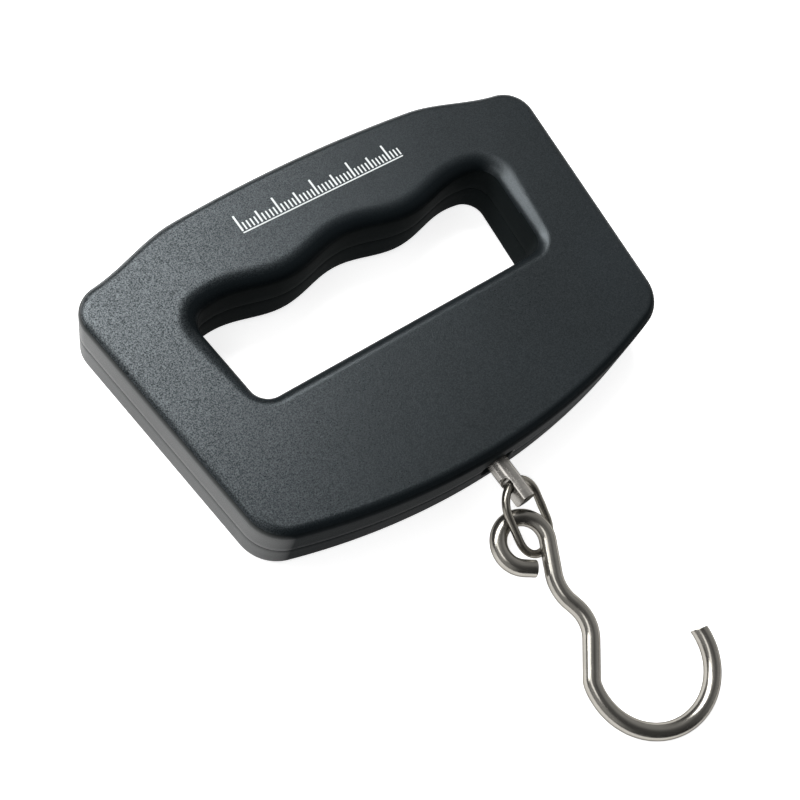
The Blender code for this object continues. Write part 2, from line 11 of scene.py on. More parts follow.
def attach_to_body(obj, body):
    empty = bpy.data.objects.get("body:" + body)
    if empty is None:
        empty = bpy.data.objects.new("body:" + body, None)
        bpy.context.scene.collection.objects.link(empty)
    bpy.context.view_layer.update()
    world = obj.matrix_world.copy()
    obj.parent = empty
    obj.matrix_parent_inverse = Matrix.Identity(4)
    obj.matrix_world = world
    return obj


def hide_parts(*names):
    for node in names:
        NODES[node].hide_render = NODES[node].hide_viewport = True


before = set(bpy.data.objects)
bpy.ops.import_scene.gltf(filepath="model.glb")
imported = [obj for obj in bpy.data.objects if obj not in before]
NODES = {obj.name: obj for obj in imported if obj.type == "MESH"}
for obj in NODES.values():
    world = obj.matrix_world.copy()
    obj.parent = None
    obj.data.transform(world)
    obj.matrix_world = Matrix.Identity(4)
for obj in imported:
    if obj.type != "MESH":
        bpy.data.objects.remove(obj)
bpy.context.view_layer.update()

scene = bpy.context.scene
MM = 0.001

# ---- dimensions of the frame, mm --------------------------------------------------------------------
THICK, PART_Z, WALL = 18.5, 9.25, 1.9
TOP_Y, BOTTOM_Y, BOTTOM_R = 64.8, -16.9, 160.0
SIDE_X0, SIDE_K = 55.155, 0.1086
TOP_FLAT, TOP_BLEND, TOP_DROP, TOP_CROWN = 31.6, 22.9, 3.13, 728.0
CORNER_TOP_R, CORNER_BOTTOM_R, EDGE_R = 7.3, 9.7, 2.75
GRIP_Y0, GRIP_X0, GRIP_K = 18.1, 36.55, 0.1
GRIP_TOP, WAVE, WAVE_PITCH = 41.55, 1.41, 32.8
GRIP_R_TOP, GRIP_R_BOTTOM = 4.65, 4.15
RIM_DEPTH, RIM_W, RIM_MORE = 3.0, 2.8, 0.6
STEM_R, STEM_Y0, STEM_Z = 2.42, -27.15, 8.9
STEM_FLAT, STEM_FLAT_Y, STEM_ROLL = 1.78, -20.55, math.radians(18.5)
CROSS_HOLE_Y, CROSS_HOLE_R = -22.3, 1.6
SLOT_W, SLOT_H = 8.0, 6.4
LINK_WIRE_R, LINK_W, LINK_L = 0.915, 11.05, 16.8
LINK_CENTRE = Vector((-0.14, -29.715, 5.352))
LINK_LONG = Vector((0.0255, 0.889, 0.4571)).normalized()
LINK_WIDE = Vector((0.9398, 0.1346, -0.3142)).normalized()
HOOK_WIRE_R = 1.9
HOOK_EYE = Vector((-4.361, -33.66, 4.624))
HOOK_TILT = (0.0529, -0.0595, 0.0)
HOOK_START = -88.95
HOOK_BENDS = [(13.88, -195.0), (4.02, -24.0), (8.14,), (8.34, 53.4), (1.57,), (9.32, -42.9), (7.16,), (5.53, 262.0), (2.75,)]
HOOK_EYE_BEND = 7
TIP_SLOPE = 0.36
SCREWS = [(-49.8, 23.0), (49.8, 23.0), (-51.0, 51.0), (51.0, 51.0), (-18.0, -10.4), (18.0, -10.4)]
BUTTON_X, BUTTON_R = 22.5, 3.5
CELL_R, CELL_Z, CELL_Y = 5.25, 7.6, (-0.3, 10.5)


# ---- materials ---------------------------------------------------------------------------------------
class Nodes:
    """A material's node tree, with short helpers."""

    def __init__(self, name):
        self.mat = bpy.data.materials.new(name)
        self.mat.use_nodes = True
        self.tree = self.mat.node_tree
        self.bsdf = self.tree.nodes["Principled BSDF"]
        self.coord = self.tree.nodes.new("ShaderNodeTexCoord")

    def new(self, kind, **values):
        n = self.tree.nodes.new(kind)
        for k, v in values.items():
            setattr(n, k, v)
        return n

    def link(self, a, b):
        self.tree.links.new(a, b)

    def mapped(self, source="Object", scale=(1, 1, 1), rotation=(0, 0, 0)):
        m = self.new("ShaderNodeMapping")
        m.inputs["Scale"].default_value = scale
        m.inputs["Rotation"].default_value = rotation
        self.link(self.coord.outputs[source], m.inputs["Vector"])
        return m.outputs["Vector"]

    def noise(self, scale, detail=3.0, rough=0.55, vector=None, distortion=0.0):
        n = self.new("ShaderNodeTexNoise")
        n.inputs["Scale"].default_value = scale
        n.inputs["Detail"].default_value = detail
        n.inputs["Roughness"].default_value = rough
        n.inputs["Distortion"].default_value = distortion
        self.link(vector if vector is not None else self.coord.outputs["Object"], n.inputs["Vector"])
        return n.outputs["Fac"]

    def ramp(self, fac, stops, interpolation="LINEAR"):
        r = self.new("ShaderNodeValToRGB")
        r.color_ramp.interpolation = interpolation
        e = r.color_ramp.elements
        while len(e) < len(stops):
            e.new(0.5)
        for el, (p, c) in zip(e, stops):
            el.position = p
            el.color = (*c, 1.0) if len(c) == 3 else c
        self.link(fac, r.inputs["Fac"])
        return r.outputs["Color"]

    def span(self, fac, lo, hi, from_lo=0.3, from_hi=0.7):
        m = self.new("ShaderNodeMapRange")
        m.inputs["From Min"].default_value = from_lo
        m.inputs["From Max"].default_value = from_hi
        m.inputs["To Min"].default_value = lo
        m.inputs["To Max"].default_value = hi
        self.link(fac, m.inputs["Value"])
        return m.outputs["Result"]

    def mix(self, fac, a, b, blend="MIX"):
        m = self.new("ShaderNodeMix", data_type="RGBA", blend_type=blend)
        for value, socket in ((fac, m.inputs[0]), (a, m.inputs[6]), (b, m.inputs[7])):
            if isinstance(value, (int, float)):
                socket.default_value = value
            elif isinstance(value, tuple):
                socket.default_value = (*value, 1.0)
            else:
                self.link(value, socket)
        return m.outputs[2]

    def math(self, op, a, b):
        m = self.new("ShaderNodeMath", operation=op)
        for value, socket in ((a, m.inputs[0]), (b, m.inputs[1])):
            if isinstance(value, (int, float)):
                socket.default_value = value
            else:
                self.link(value, socket)
        return m.outputs[0]

    def bump(self, height, strength, distance, under=None):
        b = self.new("ShaderNodeBump")
        b.inputs["Strength"].default_value = strength
        b.inputs["Distance"].default_value = distance
        self.link(height, b.inputs["Height"])
        if under is not None:
            self.link(under, b.inputs["Normal"])
        return b.outputs["Normal"]

    def set(self, **values):
        for k, v in values.items():
            s = self.bsdf.inputs[k.replace("_", " ")]
            if isinstance(v, (int, float)):
                s.default_value = v
            elif isinstance(v, tuple):
                s.default_value = (*v, 1.0)
            else:
                self.link(v, s)
        return self.mat


def shade(c, k):
    return tuple(min(1.0, v * k) for v in c)


def moulded(name, color, rough, grain=0.5, grain_scale=3700.0, tint=(1.0, 1.0, 1.0), spec=0.5, spec_tint=(1.0, 1.0, 1.0), painted_wall_shade=False, face=False):
    """Spark-eroded moulded plastic: fine speckle, slow cloudiness, specular grain, and optional painted shade on the
    side walls and a painted highlight sparkle and painted shade on the face.
    """
    n = Nodes(name)
    fine = n.noise(grain_scale, 2.5, 0.62)
    coarse = n.noise(grain_scale * 0.36, 2.0, 0.5)
    cloud = n.noise(38.0, 3.0, 0.6)
    base = n.ramp(cloud, [(0.3, shade(color, 0.9)), (0.7, shade((color[0] * tint[0], color[1] * tint[1], color[2] * tint[2]), 1.12))])
    speck = n.ramp(fine, [(0.34, (0.93, 0.93, 0.93)), (0.52, (0.99, 0.99, 0.99)), (0.7, (1.1, 1.1, 1.1))])
    n.set(Base_Color=n.mix(1.0, base, speck, "MULTIPLY"))
    both = n.math("ADD", n.span(fine, -0.05, 0.06), n.span(n.noise(24.0, 2.0), rough - 0.02, rough + 0.03))
    n.set(Roughness=both, Specular_IOR_Level=spec, Specular_Tint=spec_tint)
    glint = n.span(fine, 0.76 * spec, min(1.0, 1.15 * spec), 0.36, 0.66)
    if painted_wall_shade:
        # painted shade: side walls keep their specular only where they face -X and are dulled elsewhere, as if the
        # floor beside them lay in shadow
        sep = n.new("ShaderNodeSeparateXYZ")
        n.link(n.coord.outputs["Normal"], sep.inputs[0])
        glint = n.math("MULTIPLY", glint, n.span(sep.outputs[0], 0.02, 1.0, -0.34, -0.95))
    if face:
        # face: painted highlight, with specular sparkle strongest toward the -X +Y corner where the softbox's
        # reflection falls, and painted shade, with specular faded on the roundings that turn down or inwards to +X, as
        # if they reflected shadowed floor
        along = n.new("ShaderNodeVectorMath", operation="DOT_PRODUCT")
        along.inputs[1].default_value = (-0.8, 0.5, 0.0)
        n.link(n.coord.outputs["Object"], along.inputs[0])
        deep = n.span(fine, 0.2 * spec, min(1.0, 2.15 * spec), 0.36, 0.66)
        side = n.span(along.outputs["Value"], 0.0, 1.0, 0.018, 0.055)
        glint = n.math("ADD", n.math("MULTIPLY", deep, side), n.math("MULTIPLY", glint, n.math("SUBTRACT", 1.0, side)))
        dot = n.new("ShaderNodeVectorMath", operation="DOT_PRODUCT")
        dot.inputs[1].default_value = (0.5, -0.86, 0.0)
        n.link(n.coord.outputs["Normal"], dot.inputs[0])
        glint = n.math("MULTIPLY", glint, n.span(dot.outputs["Value"], 1.0, 0.05, 0.04, 0.36))
    n.set(Specular_IOR_Level=glint)
    low = n.bump(coarse, 0.3 * grain, 0.0001)
    n.set(Normal=n.bump(fine, grain, 0.0001, low))
    return n.mat


def plastic(name, color, rough, scale=900.0, bump=0.12, coat=0.0):
    n = Nodes(name)
    n.set(Base_Color=n.ramp(n.noise(60.0, 3.0), [(0.3, shade(color, 0.93)), (0.7, shade(color, 1.07))]))
    n.set(Roughness=n.span(n.noise(scale * 0.2, 3.0), rough - 0.03, rough + 0.04), Coat_Weight=coat, Coat_Roughness=0.08)
    n.set(Normal=n.bump(n.noise(scale, 3.0), bump, 0.00002))
    return n.mat


def metal(name, color, rough, stretch=(1, 1, 1), source="Object", line=600.0, bump=0.15, depth=0.00001, spread=0.06, tarnish=0.12, satin=0.0, edge=1.0):
    """Metal with drawn or milled lines along the axis that stretch makes slow, and faint tarnish."""
    n = Nodes(name)
    lines = n.noise(line, 3.0, 0.6, n.mapped(source, stretch))
    stain = n.noise(170.0, 4.0, 0.6)
    base = n.ramp(stain, [(0.32, shade(color, 1 - tarnish)), (0.6, color), (0.8, shade(color, 1.05))])
    n.set(Base_Color=n.mix(1.0, base, n.ramp(lines, [(0.3, (0.9, 0.9, 0.9)), (0.7, (1.04, 1.04, 1.04))]), "MULTIPLY"), Metallic=1.0 - satin, Specular_Tint=(edge, edge, edge))
    n.set(Roughness=n.math("ADD", n.span(lines, -spread / 2, spread / 2), n.span(n.noise(420.0, 3.0), rough - spread / 2, rough + spread / 2)))
    n.set(Normal=n.bump(lines, bump, depth))
    return n.mat


def banded(name, bands, rough, metallic=0.0, axis=0, soft=0.0):
    """Colour bands along one object axis, in metres: [(upper limit, colour)...]."""
    n = Nodes(name)
    sep = n.new("ShaderNodeSeparateXYZ")
    n.link(n.coord.outputs["Object"], sep.inputs[0])
    lo, hi = bands[0][0], bands[-1][0]
    fac = n.span(sep.outputs[axis], 0.0, 1.0, lo, hi)
    stops = [((b[0] - lo) / (hi - lo), b[1]) for b in bands]
    col = n.ramp(fac, stops, "CONSTANT")
    n.set(Base_Color=n.mix(1.0, col, n.ramp(n.noise(300.0, 3.0), [(0.3, (0.9, 0.9, 0.9)), (0.7, (1.06, 1.06, 1.06))]), "MULTIPLY"))
    n.set(Roughness=n.span(n.noise(500.0, 2.0), rough - 0.04, rough + 0.04), Metallic=metallic, Coat_Weight=0.3, Coat_Roughness=0.12)
    n.set(Normal=n.bump(n.noise(1400.0, 2.0), 0.08, 0.00002))
    return n.mat


ABS_COLOR = (0.0058, 0.0078, 0.0088)
COOL = (0.86, 0.95, 1.0)
ABS_F = moulded("abs_charcoal_front", ABS_COLOR, 0.33, 0.34, tint=(0.98, 1.0, 1.04), spec=0.49, spec_tint=COOL, face=True)
ABS_R = moulded("abs_charcoal_rear", shade(ABS_COLOR, 0.95), 0.35, 0.4, tint=(1.02, 1.0, 0.98), spec=0.56, spec_tint=COOL)
# painted shade: side-wall plastic made darker and duller than the face, standing in for the shadowed floor the walls
# reflect
ABS_WALL_SHADED = moulded("abs_side_wall_painted_shade", shade(ABS_COLOR, 0.85), 0.42, 0.3, spec=0.28, spec_tint=(0.97, 1.0, 0.97), painted_wall_shade=True)
# painted shade: near-mirrorless plastic for the opening's walls and inner rim and the stem slot, standing in for the
# shade inside them
ABS_RECESS_SHADED = moulded("abs_grip_wall_painted_shade", (0.0075, 0.0095, 0.0098), 0.5, 0.3, spec=0.004, spec_tint=(0.9, 1.0, 0.97))
GLOSS = plastic("panel_gloss_black", (0.006, 0.006, 0.007), 0.13, 300.0, 0.05, 0.5)
INK = plastic("print_ink_grey", (0.6, 0.63, 0.63), 0.6, 2400.0, 0.25)
BUTTON = moulded("button_satin_grey", (0.10, 0.105, 0.11), 0.42, 0.25, 3600.0)
WHITE = plastic("backlight_white", (0.72, 0.74, 0.77), 0.45, 900.0, 0.1)
RUBBER = banded("zebra_connector", [(-0.014 + 0.0007 * i, (0.05, 0.05, 0.05) if i % 2 else (0.45, 0.45, 0.46)) for i in range(31)], 0.7)
CHIP = plastic("chip_epoxy", (0.010, 0.010, 0.011), 0.5, 2600.0, 0.4)
STEEL = metal("stem_turned_steel", (0.46, 0.44, 0.41), 0.25, (150, 2600, 150), line=1.0, bump=0.25, depth=0.00002, tarnish=0.2, satin=0.1, edge=0.15)
STEM_END = metal("stem_sawn_end", (0.13, 0.125, 0.11), 0.5, (900, 900, 900), line=1.0, bump=0.4, depth=0.00004, tarnish=0.3, edge=0.2)
LINKM = metal("link_drawn_wire", (0.26, 0.245, 0.215), 0.23, (40, 900, 1), "UV", 1.0, 0.1, 0.00002, satin=0.1, edge=0.1)
HOOKM = metal("hook_nickel_wire", (0.33, 0.315, 0.285), 0.2, (36, 700, 1), "UV", 1.0, 0.07, 0.00002, 0.04, 0.12, 0.07, 0.08)
ZINC = metal("zinc_plate", (0.52, 0.53, 0.55), 0.34, (1, 1, 1), line=900.0, bump=0.2)
NICKEL = metal("contact_nickel", (0.66, 0.65, 0.62), 0.26, (300, 2200, 300), line=1.0)
ALU = metal("bar_milled_aluminium", (0.70, 0.71, 0.72), 0.36, (260, 2600, 2600), line=1.0, bump=0.2)
BRACKET = metal("bracket_stamped_steel", (0.50, 0.49, 0.47), 0.34, (2400, 240, 2400), line=1.0, bump=0.2)
SWITCH = metal("switch_tin", (0.58, 0.58, 0.58), 0.33, (900, 900, 900), line=1.0)
LEAD_RED = plastic("lead_red_pvc", (0.30, 0.02, 0.02), 0.45, 1200.0, 0.15)
LEAD_GREY = plastic("lead_grey_pvc", (0.24, 0.25, 0.26), 0.45, 1200.0, 0.15)


def pcb_material():
    n = Nodes("pcb_solder_mask")
    brick = n.new("ShaderNodeTexBrick")
    brick.inputs["Scale"].default_value = 420.0
    brick.inputs["Mortar Size"].default_value = 0.035
    brick.inputs["Color1"].default_value = (0.010, 0.075, 0.028, 1)
    brick.inputs["Color2"].default_value = (0.012, 0.090, 0.034, 1)
    brick.inputs["Mortar"].default_value = (0.03, 0.18, 0.06, 1)
    m = n.new("ShaderNodeMapping")
    m.inputs["Rotation"].default_value = (math.radians(90), 0, 0)
    n.link(n.coord.outputs["Object"], m.inputs["Vector"])
    n.link(m.outputs["Vector"], brick.inputs["Vector"])
    n.set(Base_Color=brick.outputs["Color"], Coat_Weight=0.6, Coat_Roughness=0.12)
    n.set(Roughness=n.span(n.noise(500.0), 0.36, 0.48))
    n.set(Normal=n.bump(brick.outputs["Fac"], 0.25, 0.00003))
    return n.mat


def gauge_material():
    n = Nodes("gauge_foil_film")
    w = n.new("ShaderNodeTexWave", wave_type="BANDS", bands_direction="Z")
    w.inputs["Scale"].default_value = 420.0
    w.inputs["Distortion"].default_value = 0.4
    n.link(n.coord.outputs["Object"], w.inputs["Vector"])
    n.set(Base_Color=n.ramp(w.outputs["Fac"], [(0.35, (0.48, 0.22, 0.04)), (0.6, (0.62, 0.36, 0.14))]), Coat_Weight=0.5, Coat_Roughness=0.15)
    n.set(Roughness=n.span(n.noise(600.0), 0.32, 0.46), Metallic=0.25)
    n.set(Normal=n.bump(w.outputs["Fac"], 0.2, 0.00002))
    return n.mat


def glass_material(name, color, rough, alpha):
    n = Nodes(name)
    n.set(Base_Color=n.ramp(n.noise(90.0), [(0.3, shade(color, 0.96)), (0.7, shade(color, 1.03))]))
    n.set(Roughness=n.span(n.noise(160.0, 3.0), rough, rough + 0.03), Alpha=alpha, Coat_Weight=0.4, Coat_Roughness=0.03)
    n.set(Normal=n.bump(n.noise(220.0), 0.02, 0.00001))
    return n.mat


PCB = pcb_material()
GAUGE = gauge_material()
LENS = glass_material("display_lens_clear", (0.30, 0.33, 0.33), 0.04, 0.22)
LCD_GLASS = glass_material("lcd_polariser", (0.27, 0.315, 0.245), 0.24, 1.0)
SEGMENT = plastic("lcd_segment_ghost", (0.15, 0.18, 0.14), 0.3, 900.0, 0.05)
SLEEVE = banded("cell_sleeve", [(0.0060, (0.028, 0.060, 0.15)), (0.0150, (0.028, 0.060, 0.15)), (0.0400, (0.55, 0.52, 0.47)), (0.0420, (0.028, 0.060, 0.15)), (0.0520, (0.028, 0.060, 0.15))], 0.3)
CELL_END = metal("cell_end_steel", (0.62, 0.62, 0.60), 0.28, (1, 1, 1), line=1500.0)


# ---- mesh helpers ------------------------------------------------------------------------------------
def finish(bm, name, mat, body=None, nodes=(), smooth=32.0, hidden=False):
    """bmesh in mm to a piece in metres that rides on a body and stands for CAD nodes."""
    if not hidden:
        bmesh.ops.remove_doubles(bm, verts=bm.verts, dist=1e-4)
    bmesh.ops.recalc_face_normals(bm, faces=bm.faces)
    bmesh.ops.scale(bm, vec=(MM, MM, MM), verts=bm.verts)
    me = bpy.data.meshes.new(name)
    bm.to_mesh(me)
    bm.free()
    ob = bpy.data.objects.new(name, me)
    scene.collection.objects.link(ob)
    if mat:
        for m in mat if isinstance(mat, (list, tuple)) else [mat]:
            me.materials.append(m)
    if smooth:
        me.shade_smooth()
        me.set_sharp_from_angle(angle=math.radians(smooth))
    if body:
        attach(ob, body, nodes)
    return ob


def attach(ob, body, nodes=()):
    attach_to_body(ob, body)
    if nodes:
        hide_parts(*nodes)
    return ob


def loft(rings, cap=True, close=False):
    bm = bmesh.new()
    loops = [[bm.verts.new(p) for p in ring] for ring in rings]
    n = len(loops[0])
    pairs = list(zip(loops, loops[1:])) + ([(loops[-1], loops[0])] if close else [])
    for a, b in pairs:
        for i in range(n):
            bm.faces.new((a[i], a[(i + 1) % n], b[(i + 1) % n], b[i]))
    if cap and not close:
        bm.faces.new(loops[0][::-1])
        bm.faces.new(loops[-1])
    return bm


def prism(points, z0, z1, edge=0.0):
    """Outline extruded from z0 to z1, with an edge rounding of that radius at both ends."""
    if not edge:
        return loft([at_z(points, z0), at_z(points, z1)])
    rings = [(-edge * c, z0 + edge * d) for c, d in reversed(quarter(4))] + [(-edge * c, z1 - edge * d) for c, d in quarter(4)]
    return loft([at_z(offset(points, o), z) for o, z in rings])


def box(x0, x1, y0, y1, z0, z1, edge=0.0, segments=2):
    bm = bmesh.new()
    bmesh.ops.create_cube(bm, size=1.0)
    bmesh.ops.scale(bm, vec=(x1 - x0, y1 - y0, z1 - z0), verts=bm.verts)
    bmesh.ops.translate(bm, vec=((x0 + x1) / 2, (y0 + y1) / 2, (z0 + z1) / 2), verts=bm.verts)
    if edge:
        bmesh.ops.bevel(bm, geom=bm.edges[:], offset=edge, segments=segments, affect="EDGES", profile=0.5)
    return bm


def lathe(profile, n=64, axis="Z", at=(0, 0, 0)):
    rings = []
    for h, r in profile:
        ring = []
        for i in range(n):
            a = 2 * math.pi * i / n
            c, s = r * math.cos(a), r * math.sin(a)
            p = {"Z": (c, s, h), "Y": (c, h, s), "X": (h, c, s)}[axis]
            ring.append((p[0] + at[0], p[1] + at[1], p[2] + at[2]))
        rings.append(ring)
    return loft(rings)


def merge(*parts):
    bm = bmesh.new()
    for p in parts:
        bmesh.ops.recalc_face_normals(p, faces=p.faces)
        me = bpy.data.meshes.new("tmp")
        p.to_mesh(me)
        p.free()
        bm.from_mesh(me)
        bpy.data.meshes.remove(me)
    return bm


def boolean(target, bm, operation):
    tool = finish(bm, "tool", None, smooth=0, hidden=True)
    mod = target.modifiers.new("cut", "BOOLEAN")
    mod.operation, mod.object, mod.solver = operation, tool, "EXACT"
    bpy.context.view_layer.update()
    me = bpy.data.meshes.new_from_object(target.evaluated_get(bpy.context.evaluated_depsgraph_get()))
    old = target.data
    target.modifiers.clear()
    target.data = me
    bpy.data.meshes.remove(old)
    me.name = target.name
    data = tool.data
    bpy.data.objects.remove(tool, do_unlink=True)
    bpy.data.meshes.remove(data)
    return target


def tidy(ob, smooth=32.0):
    bm = bmesh.new()
    bm.from_mesh(ob.data)
    bmesh.ops.remove_doubles(bm, verts=bm.verts, dist=2e-7)
    bmesh.ops.dissolve_degenerate(bm, edges=bm.edges, dist=1e-7)
    bm.to_mesh(ob.data)
    bm.free()
    ob.data.shade_smooth()
    ob.data.set_sharp_from_angle(angle=math.radians(smooth))
    return ob


# ---- outlines ----------------------------------------------------------------------------------------
def top_edge(x):
    t = min(max((abs(x) - TOP_FLAT) / TOP_BLEND, 0.0), 1.0)
    return TOP_Y - x * x / TOP_CROWN - TOP_DROP * (1 - math.cos(math.pi * t)) / 2


def bottom_edge(x):
    return BOTTOM_Y + BOTTOM_R - math.sqrt(BOTTOM_R ** 2 - x * x)


def grip_top(x):
    return GRIP_TOP + WAVE * math.cos(2 * math.pi * x / WAVE_PITCH)


def corner(curve, up, x0, k, r):
    def centre(x):
        s = (curve(x + 1e-4) - curve(x - 1e-4)) / 2e-4
        m = math.hypot(s, 1)
        return x + up * s / m * r, curve(x) - up * r / m

    lo, hi = 20.0, 62.0
    for _ in range(60):
        mid = (lo + hi) / 2
        cx, cy = centre(mid)
        if (x0 + k * cy - cx) / math.hypot(1, k) > r:
            lo = mid
        else:
            hi = mid
    cx, cy = centre(lo)
    m = math.hypot(1, k)
    return (cx, cy), (lo, curve(lo)), (cx + r / m, cy - r * k / m)


def arc(c, r, p, q, n):
    a, b = math.atan2(p[1] - c[1], p[0] - c[0]), math.atan2(q[1] - c[1], q[0] - c[0])
    while b - a > math.pi:
        b -= 2 * math.pi
    while b - a < -math.pi:
        b += 2 * math.pi
    return [(c[0] + r * math.cos(a + (b - a) * i / n), c[1] + r * math.sin(a + (b - a) * i / n)) for i in range(n + 1)]


def outline(top, bottom, x0, k, r_top, r_bottom, n_bottom, n_corner, n_side, n_top):
    cb, pb, qb = corner(bottom, -1, x0, k, r_bottom)
    ct, pt, qt = corner(top, 1, x0, k, r_top)
    half = [(pb[0] * i / n_bottom, bottom(pb[0] * i / n_bottom)) for i in range(n_bottom)]
    half += arc(cb, r_bottom, pb, qb, n_corner)
    half += [(qb[0] + (qt[0] - qb[0]) * i / n_side, qb[1] + (qt[1] - qb[1]) * i / n_side) for i in range(1, n_side)]
    half += arc(ct, r_top, qt, pt, n_corner)
    half += [(pt[0] * (1 - i / n_top), top(pt[0] * (1 - i / n_top))) for i in range(1, n_top + 1)]
    return half + [(-x, y) for x, y in half[-2:0:-1]]


def offset(points, d):
    out, n = [], len(points)
    for i in range(n):
        a, b, c = points[i - 1], points[i], points[(i + 1) % n]
        u = Vector((b[0] - a[0], b[1] - a[1])).normalized()
        v = Vector((c[0] - b[0], c[1] - b[1])).normalized()
        nx, ny = u.y + v.y, -(u.x + v.x)
        m = (nx * nx + ny * ny) / 2
        out.append((b[0] + nx * d / m, b[1] + ny * d / m))
    return out


def rim(points, k):
    out = []
    for (x, y), (u, v) in zip(points, offset(points, 1.0)):
        t = min(max((y - GRIP_Y0) / (GRIP_TOP - GRIP_Y0), 0.0), 1.0)
        d = k * RIM_W * (1 + RIM_MORE * t * t * (3 - 2 * t))
        out.append((x + (u - x) * d, y + (v - y) * d))
    return out


def quarter(steps):
    return [(1 - math.cos(math.pi * i / 2 / steps), 1 - math.sin(math.pi * i / 2 / steps)) for i in range(steps + 1)]


def rounded(x0, x1, y0, y1, radii, n=8):
    spec = [(x1, y0, -1, 1, -90), (x1, y1, -1, -1, 0), (x0, y1, 1, -1, 90), (x0, y0, 1, 1, 180)]
    pts = []
    for (cx, cy, sx, sy, a0), r in zip(spec, radii):
        for i in range(n + 1):
            a = math.radians(a0 + 90 * i / n)
            pts.append((cx + sx * r + r * math.cos(a), cy + sy * r + r * math.sin(a)))
    return pts


def at_z(points, z):
    return [(x, y, z) for x, y in points]


BODY = outline(top_edge, bottom_edge, SIDE_X0, SIDE_K, CORNER_TOP_R, CORNER_BOTTOM_R, 48, 20, 14, 80)
GRIP = outline(grip_top, lambda x: GRIP_Y0, GRIP_X0, GRIP_K, GRIP_R_TOP, GRIP_R_BOTTOM, 24, 16, 10, 72)
DOOR = rounded(6.2, 50.5, -5.0, 15.2, (6.0, 1.5, 1.5, 1.5), 10)


# ---- housings ----------------------------------------------------------------------------------------
def shell(front):
    """Half shell as one closed skin: outer wall and its rounding, face, the opening's rounding and wall, cavity."""
    s = 1 if front else -1
    edge = 2.2 if front else EDGE_R
    z_part = PART_Z + s * 0.045
    z_face = THICK - 0.03 if front else 0.0
    outer = [(-0.1, z_part), (-0.02, z_part + s * 0.04), (0.0, z_part + s * 0.1)]
    z_round = z_face - s * edge
    outer += [(0.0, z_part + (z_round - z_part) * i / 4) for i in (1, 2, 3)]
    outer += [(-edge * c, z_face - s * edge * d) for c, d in quarter(9)] + [(-edge - 0.2, z_face)]
    z_rim = z_face - s * RIM_DEPTH
    hole = [(c, z_face - s * RIM_DEPTH * d) for c, d in quarter(11)] + [(1.05, z_face)]
    bm = bmesh.new()

    def ring(points, z):
        return [bm.verts.new((x, y, z)) for x, y in points]

    def strip(a, b):
        n = len(a)
        for i in range(n):
            bm.faces.new((a[i], a[(i + 1) % n], b[(i + 1) % n], b[i]))

    def fill(a, b):
        edges = []
        for loop in (a, b):
            for i in range(len(loop)):
                e = bm.edges.get((loop[i], loop[(i + 1) % len(loop)])) or bm.edges.new((loop[i], loop[(i + 1) % len(loop)]))
                edges.append(e)
        bmesh.ops.triangle_fill(bm, use_beauty=True, use_dissolve=False, edges=edges)

    body = [ring(offset(BODY, d), z) for d, z in outer]
    grip = [ring(offset(GRIP, 0.1), z_part), ring(offset(GRIP, 0.02), z_part + s * 0.04), ring(GRIP, z_part + s * 0.1)]
    grip += [ring(GRIP, z_part + (z_rim - z_part) * i / 3) for i in (1, 2)]
    grip += [ring(rim(GRIP, k), z) for k, z in hole]
    for chain in (body, grip):
        for a, b in zip(chain, chain[1:]):
            strip(a, b)
    fill(body[-1], grip[-1])
    z_roof = z_face - s * WALL
    c0, c1 = ring(offset(BODY, -WALL), z_part), ring(offset(BODY, -WALL), z_roof)
    d0, d1 = ring(offset(GRIP, WALL), z_part), ring(offset(GRIP, WALL), z_roof)
    strip(c0, c1)
    strip(d0, d1)
    fill(c1, d1)
    strip(body[0], c0)
    strip(grip[0], d0)
    name = "front_housing_shell" if front else "rear_housing_shell"
    return finish(bm, name, ABS_F if front else ABS_R)


front, rear = shell(True), shell(False)
boolean(front, merge(*[lathe([(PART_Z + 0.15, 2.9), (THICK - WALL + 0.4, 2.9)], 32, "Z", (x, y, 0)) for x, y in SCREWS]), "UNION")
boolean(front, merge(*[lathe([(PART_Z - 1, 1.4), (14.6, 1.4)], 24, "Z", (x, y, 0)) for x, y in SCREWS]), "DIFFERENCE")
boolean(rear, merge(*[lathe([(WALL - 0.4, 3.3), (PART_Z - 0.15, 3.3)], 32, "Z", (x, y, 0)) for x, y in SCREWS]), "UNION")
boolean(rear, merge(box(4.4, 5.2, -7.1, 15.4, WALL - 0.4, 13.4)), "UNION")
boolean(rear, merge(box(4.8, 44.0, -7.1, -6.3, WALL - 0.35, 11.0)), "UNION")
bores = [(-1, 3.05), (0.0, 3.05), (0.12, 2.84), (0.3, 2.72), (2.1, 2.7), (2.1, 1.4), (PART_Z + 1, 1.4)]
boolean(rear, merge(*[lathe(bores, 56, "Z", (x, y, 0)) for x, y in SCREWS]), "DIFFERENCE")
boolean(rear, loft([at_z(offset(DOOR, d), z) for d, z in ((0.62, -1.0), (0.62, 0.0), (0.45, 0.1), (0.35, 0.28), (0.35, WALL + 0.2))]), "DIFFERENCE")
boolean(rear, merge(*[lathe([(0.7, 1.35), (3.0, 1.35)], 20, "Z", (x, 10.5, 0)) for x in (-35.5, -44.0)]), "DIFFERENCE")

